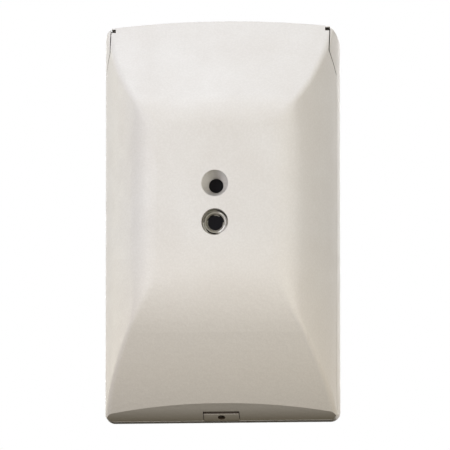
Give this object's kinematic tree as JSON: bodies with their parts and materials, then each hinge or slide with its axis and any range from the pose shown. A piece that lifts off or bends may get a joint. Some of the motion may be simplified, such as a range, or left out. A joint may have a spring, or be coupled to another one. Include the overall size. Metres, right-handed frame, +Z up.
{
  "type": "glass break sensor",
  "caption": "Wall-mounted acoustic glass break sensor: tapered housing with a hinged front cover, recessed microphone and light pipe, battery and radio board inside.",
  "frame": {"origin": "centre of the base's flat wall face", "axes": "+Z up the wall along the height, +Y into the wall, so the front looks along -Y, +X to the right as seen from the front"},
  "size_m": [0.0746, 0.035, 0.127],
  "materials": {
    "housing_plastic": "warm white moulded ABS, fine spark texture",
    "black_cloth": "woven acoustic cloth",
    "clear_plastic": "clear moulded polycarbonate",
    "board_laminate": "green solder mask over glass laminate",
    "zinc_steel": "zinc plated",
    "aluminium_can": "drawn can",
    "black_rubber": "moulded silicone",
    "lamp_epoxy": "tinted epoxy",
    "cell_sleeve": "shrink sleeve",
    "black_plastic": "moulded nylon",
    "nickel_sheet": "nickel plated sheet",
    "white_plastic": "moulded acetal",
    "red_plastic": "moulded polyester",
    "copper_wire": "tinned copper wire",
    "chip_epoxy": "moulded epoxy with tinned leads",
    "resistor_ceramic": "glazed chip",
    "capacitor_ceramic": "ceramic chip"
  },
  "bodies": {
    "base": {"rear_base": "housing_plastic", "circuit_board": "board_laminate", "board_screws": "zinc_steel", "microphone_capsule": "aluminium_can", "microphone_boot": "black_rubber", "status_led": "lamp_epoxy", "battery_cell": "cell_sleeve", "battery_holder": "black_plastic", "positive_contact": "nickel_sheet", "negative_contact": "nickel_sheet", "tamper_switch_body": "black_plastic", "switch_body": "red_plastic", "radio_shield": "nickel_sheet", "antenna_wire": "copper_wire", "processor": "chip_epoxy", "amplifier": "chip_epoxy", "regulator": "chip_epoxy", "crystal_can": "nickel_sheet", "storage_capacitor": "aluminium_can", "service_header": "black_plastic", "chip_resistors": "resistor_ceramic", "chip_capacitors": "capacitor_ceramic"},
    "cover": {"front_cover": "housing_plastic", "acoustic_cloth": "black_cloth", "light_pipe": "clear_plastic"},
    "plunger": {"tamper_plunger": "white_plastic"},
    "slider_1": {"switch_slider_1": "white_plastic"},
    "slider_2": {"switch_slider_2": "white_plastic"}
  },
  "joints": [
    {"name": "cover_hinge", "type": "hinge", "parent": "base", "child": "cover", "pos_m": [0, -0.0064, 0.0595], "axis": [-1, 0, 0], "range_deg": [0, 65]},
    {"name": "tamper_press", "type": "slide", "parent": "base", "child": "plunger", "axis": [0, -1, 0], "range_m": [0, 0.0012]},
    {"name": "slider_1_slide", "type": "slide", "parent": "base", "child": "slider_1", "axis": [0, 0, 1], "range_m": [0, 0.0014]},
    {"name": "slider_2_slide", "type": "slide", "parent": "base", "child": "slider_2", "axis": [0, 0, 1], "range_m": [0, 0.0014]}
  ],
  "couplings": [
    {"joint": "tamper_press", "follows": "cover_hinge", "m_per_rad": 0.0010567}
  ]
}
